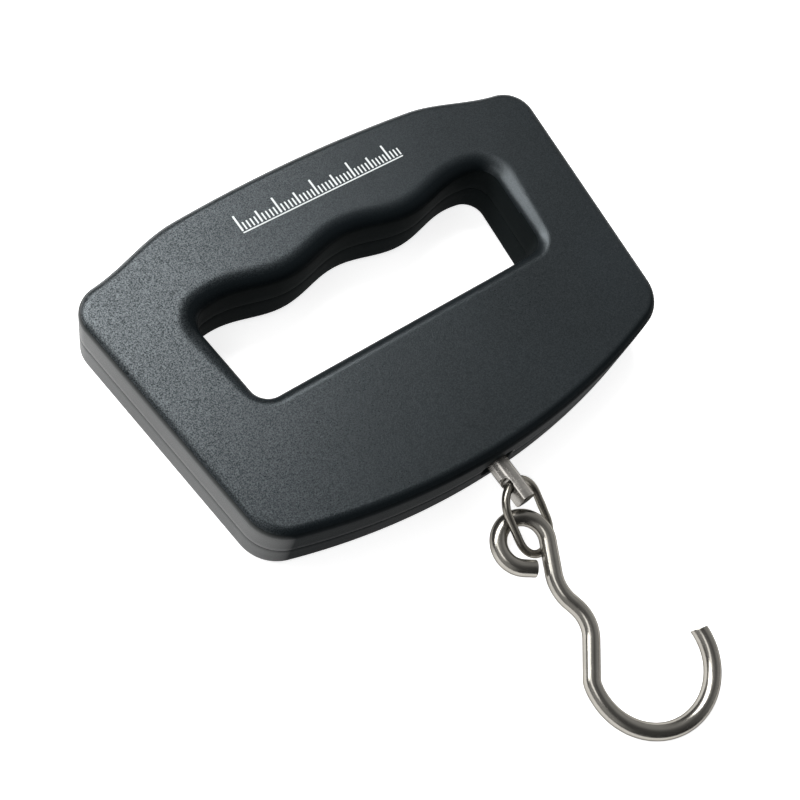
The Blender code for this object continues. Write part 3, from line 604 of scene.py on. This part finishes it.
# slot for the stem, with a soft lip
slot_flat = rounded(-SLOT_W / 2, SLOT_W / 2, -SLOT_H / 2, SLOT_H / 2, (2.6,) * 4, 10)
lip = [(0.75, -20.0), (0.75, -17.0), (0.55, -16.86), (0.25, -16.6), (0.07, -16.3), (0.0, -15.9), (0.0, -12.0)]
pocket = rounded(-30.3, 30.3, PART_Z - 6.3, PART_Z + 6.3, (0.8,) * 4, 6)
for ob in (front, rear):
    boolean(ob, loft([[(x, y, z + STEM_Z) for x, z in offset(slot_flat, d)] for d, y in lip]), "DIFFERENCE")
    boolean(ob, loft([[(x, y, z) for x, z in pocket] for y in (61.2, 67.0)]), "DIFFERENCE")
    tidy(ob)
# painted shade: the stem slot, the opening's walls and inner rim band get the recess shade material, the outer side
# walls the shaded wall material
for ob in (front, rear):
    s = 1 if ob is front else -1
    ob.data.materials.append(ABS_WALL_SHADED)
    ob.data.materials.append(ABS_RECESS_SHADED)
    for f in ob.data.polygons:
        c, tilt = f.center / MM, f.normal.z * s
        if abs(c.x) < 4.9 and c.y < -13 and abs(c.z - STEM_Z) < 3.9 and f.normal.y > -0.6:
            f.material_index = 2
        elif abs(c.x) < 47 and 14 < c.y < 50:
            f.material_index = 2 if tilt < 0.4 else 0
        else:
            f.material_index = 1 if tilt < 0.6 else 0
attach(front, "housing", ["front_housing"])
attach(rear, "housing", ["rear_housing"])

# graduation ticks printed on the grip
ticks = []
for i in range(44):
    x = -20.2 + i
    h = 4.2 if i % 10 == 0 else (3.1 if i % 5 == 0 else 2.0)
    w = 0.23 if i % 5 == 0 else 0.18
    ticks.append(prism(rounded(x - w, x + w, 53.6, 53.6 + h, (0.12,) * 4, 2), THICK - 0.05, THICK))
ticks.append(prism(rounded(-20.4, 23.0, 53.02, 53.32, (0.12,) * 4, 2), THICK - 0.05, THICK))
finish(merge(*ticks), "grip_graduation_ticks", INK, "housing", ())


# ---- top panel, window, buttons ----------------------------------------------------------------------
def crowned(x0, x1, z0, z1, drop0, drop1, n, edge):
    """Strip that follows the crown of the grip, with a rounded section and rounded ends."""
    def section(inset):
        pts = []
        e = edge
        for cz, cy, a0 in ((z1 - e, -drop0 - e, 0), (z0 + e, -drop0 - e, 90), (z0 + e, -drop1 + e, 180), (z1 - e, -drop1 + e, 270)):
            for i in range(5):
                a = math.radians(a0 + 90 * i / 4)
                r = max(e - inset, 0.02)
                pts.append((cz + r * math.cos(a), cy + r * math.sin(a)))
        return pts

    rings = []
    stations = [(x0 + edge * d, edge * c) for c, d in reversed(quarter(3))]
    stations += [(x0 + edge + (x1 - x0 - 2 * edge) * i / n, 0.0) for i in range(1, n)]
    stations += [(x1 - edge * d, edge * c) for c, d in quarter(3)]
    for x, inset in stations:
        y = top_edge(x)
        rings.append([(x, y + v, u) for u, v in section(inset)])
    return loft(rings)


panel = finish(crowned(-30.0, 30.0, PART_Z - 6.0, PART_Z + 6.0, 0.2, 1.6, 72, 0.3), "top_panel_gloss", GLOSS)
window = rounded(-15.3, 15.3, PART_Z - 4.4, PART_Z + 4.4, (0.9,) * 4, 8)
cut = [(0.0, 60.0), (0.0, 63.9), (0.25, 64.25), (0.6, 64.6), (0.6, 66.0)]
boolean(panel, loft([[(x, y, z) for x, z in offset(window, d)] for d, y in cut]), "DIFFERENCE")
hole = [(60, BUTTON_R + 0.3), (63.55, BUTTON_R + 0.3), (63.85, BUTTON_R + 0.42), (64.2, BUTTON_R + 0.75), (66, BUTTON_R + 0.75)]
boolean(panel, merge(*[lathe(hole, 72, "Y", (x, 0, PART_Z)) for x in (-BUTTON_X, BUTTON_X)]), "DIFFERENCE")
attach(tidy(panel), "housing", ["top_panel"])
finish(crowned(-15.0, 15.0, PART_Z - 4.1, PART_Z + 4.1, 0.35, 1.35, 48, 0.2), "display_lens_window", LENS, "housing", ["display_lens"])
finish(box(-15.5, 15.5, 60.2, 62.3, PART_Z - 5.0, PART_Z + 5.0, 0.15, 2), "lcd_module_glass", LCD_GLASS, "housing", ["lcd_module"])


def seven(cx, cz, w, h):
    """Seven unlit segments of one digit, as slim hexagons on the display glass; +Z reads as up."""
    t, g = 0.42, 0.14
    bars = []

    def hexagon(ax, az, bx, bz):
        length = math.hypot(bx - ax, bz - az)
        ux, uz = (bx - ax) / length, (bz - az) / length
        px, pz = -uz, ux
        pts = [(g, 0), (g + t, t), (length - g - t, t), (length - g, 0), (length - g - t, -t), (g + t, -t)]
        return [(ax + ux * a + px * b, az + uz * a + pz * b) for a, b in pts]

    x0, x1, z0, zm, z1 = cx - w / 2, cx + w / 2, cz - h / 2, cz, cz + h / 2
    for a in ((x0, z0, x1, z0), (x0, zm, x1, zm), (x0, z1, x1, z1), (x0, z0, x0, zm), (x0, zm, x0, z1), (x1, z0, x1, zm), (x1, zm, x1, z1)):
        pts = hexagon(*a)
        bars.append(loft([[(x, y, z) for x, z in pts] for y in (62.29, 62.33)]))
    return bars


segments = []
for i in range(4):
    segments += seven(-8.4 + 5.0 * i, PART_Z - 0.1, 2.9, 5.4)
    segments.append(loft([[(x - 5.9 + 5.0 * i, y, z + PART_Z - 2.8) for x, z in rounded(-0.3, 0.3, -0.3, 0.3, (0.1,) * 4, 2)] for y in (62.29, 62.33)]))
finish(merge(*segments), "lcd_ghost_segments", SEGMENT, "housing", ())

for name, x in (("power", -BUTTON_X), ("unit", BUTTON_X)):
    top = top_edge(x) + 0.35
    r = BUTTON_R
    profile = [(60.7, 4.15), (60.85, 4.3), (61.25, 4.3), (61.4, 4.15), (61.4, r + 0.08), (61.5, r)]
    profile += [(top - 0.5 * d, r - 0.5 * c) for c, d in quarter(6)]
    profile += [(top - 0.02, r - 0.75), (top - 0.10, r - 1.1), (top - 0.17, r - 1.5)]
    if name == "power":
        profile += [(top - 0.18, 1.75), (top - 0.12, 1.65), (top - 0.09, 1.5), (top - 0.12, 1.35), (top - 0.2, 1.25)]
    profile += [(top - 0.21, 1.0), (top - 0.23, 0.5), (top - 0.235, 0.12)]
    b = finish(lathe(profile, 72, "Y", (x, 0, PART_Z)), "button_" + name + "_cap", BUTTON)
    if name == "unit":
        for dz in (-0.75, 0.75):
            boolean(b, box(x - 1.35, x + 1.35, top - 0.4, top - 0.1, PART_Z + dz - 0.24, PART_Z + dz + 0.24, 0.07, 2), "UNION")
    else:
        boolean(b, box(x - 0.2, x + 0.2, top - 0.4, top - 0.1, PART_Z + 0.7, PART_Z + 1.9, 0.07, 2), "UNION")
    attach(tidy(b), name + "_button", ["button_" + name])

# ---- battery door ------------------------------------------------------------------------------------
door = finish(loft([at_z(offset(DOOR, d), z) for d, z in [(-0.3 * c, 0.2 + 0.3 * d) for c, d in reversed(quarter(5))] + [(0.0, 1.1), (0.0, 1.7), (-0.1, 1.8)]]), "battery_door_cover", ABS_R)
boolean(door, box(49.3, 50.4, 3.4, 6.2, 1.4, 3.0, 0.08, 1), "UNION")
boolean(door, box(49.9, 51.6, 3.5, 6.1, 2.2, 2.9, 0.08, 1), "UNION")
notch = rounded(7.2, 9.4, 1.1, 9.1, (1.0,) * 4, 8)
boolean(door, loft([at_z(offset(notch, d), z) for d, z in ((0.2, -0.5), (0.2, 0.2), (0.05, 0.32), (0.0, 0.45), (0.0, 0.8))]), "DIFFERENCE")
ribs = []
for i in range(5):
    x = 11.0 + 0.9 * i
    ribs.append(loft([at_z(offset(rounded(x - 0.22, x + 0.22, 2.2, 8.0, (0.2,) * 4, 4), d), z) for d, z in ((-0.08, 0.09), (0.0, 0.2), (0.0, 0.4))]))
boolean(door, merge(*ribs), "UNION")
attach(tidy(door), "door", ["battery_door"])

# ---- battery cells -----------------------------------------------------------------------------------
for name, x0, x1, nub, y in (("battery_cell_1", 7.5, 51.0, 1, CELL_Y[0]), ("battery_cell_2", 6.85, 50.35, -1, CELL_Y[1])):
    body = [(0.0, 3.6), (0.0, 4.55), (0.12, 4.95), (0.4, CELL_R), (43.1, CELL_R), (43.38, 4.95), (43.5, 4.5), (43.42, 3.6), (43.42, 2.1), (43.62, 1.92), (44.2, 1.88), (44.3, 1.7)]
    if nub < 0:
        body = [(43.5 - h, r) for h, r in reversed(body)]
    c = finish(lathe([(x0 + h, r) for h, r in body], 64, "X", (0, y, CELL_Z)), name + "_body", [SLEEVE, CELL_END])
    for f in c.data.polygons:
        co = f.center
        if math.hypot(co.y - y * MM, co.z - CELL_Z * MM) < 0.0042:
            f.material_index = 1
    attach(c, "housing", [name])

# ---- stem --------------------------------------------------------------------------------------------
stem_profile = [(STEM_Y0, STEM_R - 0.42), (STEM_Y0 + 0.08, STEM_R - 0.2), (STEM_Y0 + 0.3, STEM_R - 0.03), (STEM_Y0 + 0.5, STEM_R)]
stem_profile += [(STEM_Y0 + 0.5 + (5.4 - STEM_Y0 - 0.5) * i / 12, STEM_R) for i in range(1, 13)]
stem_profile += [(5.4, 3.35), (5.55, 3.5), (7.6, 3.5), (7.95, 3.3), (8.1, 3.0)]
stem = finish(lathe(stem_profile, 96, "Y", (0, 0, STEM_Z)), "hanger_stem_rod", STEEL)
for side in (1, -1):
    flat = box(STEM_FLAT, 4.0, STEM_Y0 - 3, STEM_FLAT_Y, -4.0, 4.0)
    roll = Matrix.Rotation(STEM_ROLL + (math.pi if side < 0 else 0), 3, "Y")
    bmesh.ops.rotate(flat, verts=flat.verts, cent=(0, 0, 0), matrix=roll)
    bmesh.ops.translate(flat, vec=(0, 0, STEM_Z), verts=flat.verts)
    boolean(stem, flat, "DIFFERENCE")
hole = lathe([(-4, CROSS_HOLE_R + 0.25), (-STEM_FLAT, CROSS_HOLE_R + 0.25), (-STEM_FLAT + 0.25, CROSS_HOLE_R), (STEM_FLAT - 0.25, CROSS_HOLE_R), (STEM_FLAT, CROSS_HOLE_R + 0.25), (4, CROSS_HOLE_R + 0.25)], 56, "X")
bmesh.ops.rotate(hole, verts=hole.verts, cent=(0, 0, 0), matrix=Matrix.Rotation(STEM_ROLL, 3, "Y"))
bmesh.ops.translate(hole, vec=(0, CROSS_HOLE_Y, STEM_Z), verts=hole.verts)
boolean(stem, hole, "DIFFERENCE")
tidy(stem, 24.0)
stem.data.materials.append(STEM_END)
for f in stem.data.polygons:
    if f.normal.y < -0.5 and f.center.y < (STEM_Y0 + 0.4) * MM:
        f.material_index = 1
attach(stem, "stem", ["hanger_stem"])


# ---- link and hook -----------------------------------------------------------------------------------
def tube(path, normal, radius, sides, closed, length_uv=True):
    """Round wire along a plane path; radius is a function of the point's index and of the distance run."""
    n = len(path)
    rings, run = [], 0.0
    runs = [0.0]
    for a, b in zip(path, path[1:]):
        runs.append(runs[-1] + (b - a).length)
    for i, p in enumerate(path):
        a = path[i - 1] if (i > 0 or closed) else p
        b = path[(i + 1) % n] if (i < n - 1 or closed) else p
        t = (b - a).normalized()
        side = t.cross(normal).normalized()
        r = radius(i, runs[i])
        rings.append([p + side * (r * math.cos(2 * math.pi * k / sides)) + normal * (r * math.sin(2 * math.pi * k / sides)) for k in range(sides)])
    bm = loft(rings, True, closed)
    uv = bm.loops.layers.uv.new("run")
    bm.verts.index_update()
    bm.verts.ensure_lookup_table()
    for f in bm.faces:
        if len(f.verts) != 4:
            for l in f.loops:
                l[uv].uv = (l.vert.co.x * MM, l.vert.co.y * MM)
            continue
        ids = [l.vert.index for l in f.loops]
        rows, cols = [i // sides for i in ids], [i % sides for i in ids]
        for l, row, col in zip(f.loops, rows, cols):
            if max(rows) - min(rows) > 1 and row == 0:
                u = runs[-1] + 1.0
            else:
                u = runs[row]
            v = col if not (max(cols) - min(cols) > 1 and col == 0) else sides
            l[uv].uv = (u * MM, v / sides * 2 * math.pi * 2.0 * MM)
    return bm


def stadium(width, length, n_arc, n_side):
    r = width / 2
    s = length / 2 - r
    pts = [(r * math.cos(math.pi * i / n_arc), s + r * math.sin(math.pi * i / n_arc)) for i in range(n_arc + 1)]
    pts += [(-r, s - 2 * s * i / n_side) for i in range(1, n_side)]
    pts += [(-r * math.cos(math.pi * i / n_arc), -s - r * math.sin(math.pi * i / n_arc)) for i in range(n_arc + 1)]
    pts += [(r, -s + 2 * s * i / n_side) for i in range(1, n_side)]
    return pts


loop_points = stadium(LINK_W, LINK_L, 56, 20)
link_path = [LINK_CENTRE + LINK_WIDE * a + LINK_LONG * b for a, b in loop_points]
weld = len(loop_points) - 10  # middle of the right-hand side, where the wire's ends are butt-welded


def link_radius(i, run):
    d = (link_path[i] - link_path[weld]).length
    return LINK_WIRE_R + 0.07 * math.exp(-(d / 0.55) ** 2) - 0.05 * math.exp(-(d / 0.13) ** 2)


finish(tube(link_path, LINK_WIDE.cross(LINK_LONG).normalized(), link_radius, 32, True), "hook_link_wire", LINKM, "link", ["hook_link"], 40)


def bend(start, heading, bends, step):
    x, y, h = start[0], start[1], math.radians(heading)
    pts, eye = [(x, y)], None
    for k, b in enumerate(bends):
        if len(b) == 1:
            length, c, n = b[0], 0.0, max(2, int(b[0] / 0.5))
        else:
            length, c = b[0] * math.radians(abs(b[1])), math.copysign(1 / b[0], b[1])
            n = max(3, round(abs(b[1]) / step))
            if k == HOOK_EYE_BEND:
                eye = (x - math.sin(h) * b[0], y + math.cos(h) * b[0])
        d = length / n
        for _ in range(n):
            chord = d if c == 0 else 2 * math.sin(c * d / 2) / c
            x, y = x + math.cos(h + c * d / 2) * chord, y + math.sin(h + c * d / 2) * chord
            h += c * d
            pts.append((x, y))
    return pts, eye


flat_path, eye = bend((0.0, 0.0), HOOK_START, HOOK_BENDS, 2.5)
tilt = Euler(HOOK_TILT, "XYZ").to_matrix()
hook_path = [HOOK_EYE + tilt @ Vector((x - eye[0], y - eye[1], 0.0)) for x, y in flat_path]
# cropped ends: the wire's last 0.3 mm rounds over to a flat cut face
first, last = (hook_path[1] - hook_path[0]).normalized(), (hook_path[-1] - hook_path[-2]).normalized()
EDGE = 0.32
head = [hook_path[0] + first * (EDGE * d) for c, d in reversed(quarter(4))]
tail = [hook_path[-1] - last * (EDGE * d) for c, d in quarter(4)]
inner = [p for p in hook_path[1:-1] if (p - hook_path[0]).length > EDGE + 0.1 and (p - hook_path[-1]).length > EDGE + 0.1]
hook_path = head + inner + tail
n_hook = len(hook_path)


def sheared(bm, rings, sides, slope):
    """Tilts the flat cut at one end of the wire: rings nearer the end move further along it."""
    bm.verts.index_update()
    bm.verts.ensure_lookup_table()
    end = [v for v in bm.verts if v.index // sides == rings[0]]
    mid = sum((v.co for v in end), Vector()) / len(end)
    inner = [v for v in bm.verts if v.index // sides == rings[-1]]
    axis = (mid - sum((v.co for v in inner), Vector()) / len(inner)).normalized()
    side = axis.cross(tilt @ Vector((0, 0, 1)))
    for k, ring in enumerate(rings):
        share = 1 - k / len(rings)
        for v in bm.verts:
            if v.index // sides == ring:
                u = (v.co - mid).dot(side)
                v.co -= axis * share * (abs(slope) * HOOK_WIRE_R + slope * u)
    return bm


def hook_radius(i, run):
    if i < 5:
        return HOOK_WIRE_R - EDGE * quarter(4)[4 - i][0]
    if i >= n_hook - 5:
        return HOOK_WIRE_R - EDGE * quarter(4)[i - (n_hook - 5)][0]
    return HOOK_WIRE_R


wire = tube(hook_path, tilt @ Vector((0, 0, 1)), hook_radius, 48, False)
sheared(wire, list(range(0, 9)), 48, TIP_SLOPE)
finish(wire, "hook_bent_wire", HOOKM, "hook", ["hook"], 40)

# ---- housing screws ----------------------------------------------------------------------------------
for i, (x, y) in enumerate(SCREWS):
    z = 0.5
    profile = [(z, 1.6), (z + 0.05, 1.95), (z + 0.2, 2.2), (z + 0.45, 2.33), (z + 0.8, 2.35), (z + 1.3, 2.3), (z + 1.3, 1.05), (13.0, 1.05), (13.9, 0.4)]
    sc = finish(lathe(profile, 48, "Z", (x, y, 0)), f"housing_screw_{i + 1}_head", ZINC)
    turn = 0.5 + 0.9 * i
    for a in (0, 1):
        arm = loft([[(u * w, v * t, zz) for u, v in ((-1, -1), (1, -1), (1, 1), (-1, 1))] for w, t, zz in ((1.25, 0.3, z - 0.3), (1.2, 0.27, z), (0.55, 0.2, z + 0.85))])
        bmesh.ops.rotate(arm, verts=arm.verts, cent=(0, 0, 0), matrix=Matrix.Rotation(turn + a * math.pi / 2, 3, "Z"))
        bmesh.ops.translate(arm, vec=(x, y, 0), verts=arm.verts)
        boolean(sc, arm, "DIFFERENCE")
    attach(tidy(sc, 28.0), "housing", [f"housing_screw_{i + 1}"])

# ---- pieces kept from the frame, with their finishes --------------------------------------------------
FINISH = {
    "lcd_backlight": WHITE, "lcd_connector": RUBBER, "main_pcb": PCB, "controller_chip": CHIP,
    "tact_switch_power": SWITCH, "tact_switch_unit": SWITCH, "battery_spring_1": NICKEL, "battery_spring_2": NICKEL,
    "battery_bridge": NICKEL, "battery_contact_positive": NICKEL, "battery_contact_negative": NICKEL, "load_cell": ALU,
    "strain_gauge_upper": GAUGE, "strain_gauge_lower": GAUGE, "load_cell_bracket": BRACKET, "load_cell_bolt_1": ZINC,
    "load_cell_bolt_2": ZINC, "bracket_screw_1": ZINC, "bracket_screw_2": ZINC, "stem_washer": ZINC,
    "cable_load_cell": LEAD_GREY, "cable_battery": LEAD_RED,
}
for node, mat in FINISH.items():
    ob = NODES[node]
    ob.data.materials.clear()
    ob.data.materials.append(mat)

# ---- camera ------------------------------------------------------------------------------------------
cam = bpy.data.cameras.new("camera")
cam.sensor_width, cam.lens = 36.0, 54.4156
cam.clip_start, cam.clip_end = 0.01, 20.0
cam_ob = bpy.data.objects.new("camera", cam)
scene.collection.objects.link(cam_ob)
cx, cy, cz = Vector((0.78913, -0.57753, 0.20914)), Vector((0.46443, 0.78385, 0.41217)), Vector((-0.40197, -0.22812, 0.88678))
m = Matrix((cx, cy, cz)).transposed().to_4x4()
m.translation = Vector((-0.114839, -0.053500, 0.240760))
cam_ob.matrix_world = m
scene.camera = cam_ob

# ---- stage -------------------------------------------------------------------------------------------
fm = Nodes("studio_floor")
fm.set(Base_Color=fm.ramp(fm.noise(3.0), [(0.3, (0.82, 0.82, 0.82)), (0.7, (0.84, 0.84, 0.84))]), Roughness=0.9, Specular_IOR_Level=0.1)
# painted light: the floor glows, more strongly toward -X, to brighten what the left side wall reflects
fm.bsdf.inputs["Emission Color"].default_value = (1, 1, 1, 1)
fsep = fm.new("ShaderNodeSeparateXYZ")
fm.link(fm.coord.outputs["Object"], fsep.inputs[0])
fm.link(fm.span(fsep.outputs[0], 0.8, 1.1, -0.055, -0.14), fm.bsdf.inputs["Emission Strength"])
floor_bm = bmesh.new()
bmesh.ops.create_grid(floor_bm, x_segments=2, y_segments=2, size=9000.0)
bmesh.ops.translate(floor_bm, vec=(0, 0, -0.05), verts=floor_bm.verts)
floor = finish(floor_bm, "studio_floor", fm.mat, smooth=0)

world = bpy.data.worlds.new("studio")
scene.world = world
world.use_nodes = True
wt = world.node_tree
bg = wt.nodes["Background"]
tc = wt.nodes.new("ShaderNodeTexCoord")


def glow(direction, lo, hi, level):
    """Soft brightening of the studio round one direction; lo and hi are cosines of the angle from it."""
    dot = wt.nodes.new("ShaderNodeVectorMath")
    dot.operation = "DOT_PRODUCT"
    dot.inputs[1].default_value = Vector(direction).normalized()
    wt.links.new(tc.outputs["Generated"], dot.inputs[0])
    m = wt.nodes.new("ShaderNodeMapRange")
    m.interpolation_type = "SMOOTHSTEP"
    for socket, value in zip(("From Min", "From Max", "To Min", "To Max"), (lo, hi, 0.0, level)):
        m.inputs[socket].default_value = value
    wt.links.new(dot.outputs["Value"], m.inputs["Value"])
    return m.outputs["Result"]


total = glow((0, 0, 1), -2.0, -1.5, 0.018)
for part in (glow((0.0, 0.45, 0.89), 0.72, 1.0, 0.3), glow((0.96, -0.1, 0.18), 0.4, 0.95, 0.5), glow((-0.85, -0.15, 0.49), 0.7, 1.0, 0.45)):
    add = wt.nodes.new("ShaderNodeMath")
    add.operation = "ADD"
    wt.links.new(total, add.inputs[0])
    wt.links.new(part, add.inputs[1])
    total = add.outputs[0]
tone = wt.nodes.new("ShaderNodeCombineColor")
wt.links.new(total, tone.inputs[0])
wt.links.new(total, tone.inputs[1])
wt.links.new(total, tone.inputs[2])
wt.links.new(tone.outputs[0], bg.inputs["Color"])
bg.inputs["Strength"].default_value = 1.0


def softbox(name, direction, distance, half_u, half_v, turn, radiance, color=(1, 1, 1)):
    """Area light seen from the scale's middle in a direction, half_u by half_v degrees, turned about its axis."""
    c = Vector(direction).normalized()
    e1 = Vector((0, 1, 0)).cross(c).normalized()
    e2 = c.cross(e1)
    t = math.radians(turn)
    u, v = e1 * math.cos(t) + e2 * math.sin(t), e2 * math.cos(t) - e1 * math.sin(t)
    light = bpy.data.lights.new(name, "AREA")
    light.shape = "RECTANGLE"
    light.size = 2 * distance * math.tan(math.radians(half_u))
    light.size_y = 2 * distance * math.tan(math.radians(half_v))
    light.energy = radiance * math.pi * light.size * light.size_y
    light.color = color
    ob = bpy.data.objects.new(name, light)
    scene.collection.objects.link(ob)
    frame_m = Matrix((u, v, c)).transposed().to_4x4()
    frame_m.translation = Vector((0.0, 0.02, 0.0)) + c * distance
    ob.matrix_world = frame_m
    return ob


softbox("softbox_top", (-0.205, 0.605, 0.77), 0.95, 32.0, 14.0, -12.5, 9.8)
softbox("softbox_left", (-0.50, 0.10, 0.86), 0.90, 9.0, 17.0, 0.0, 2.5)
scene.view_settings.view_transform = "Standard"
scene.view_settings.look = "None"
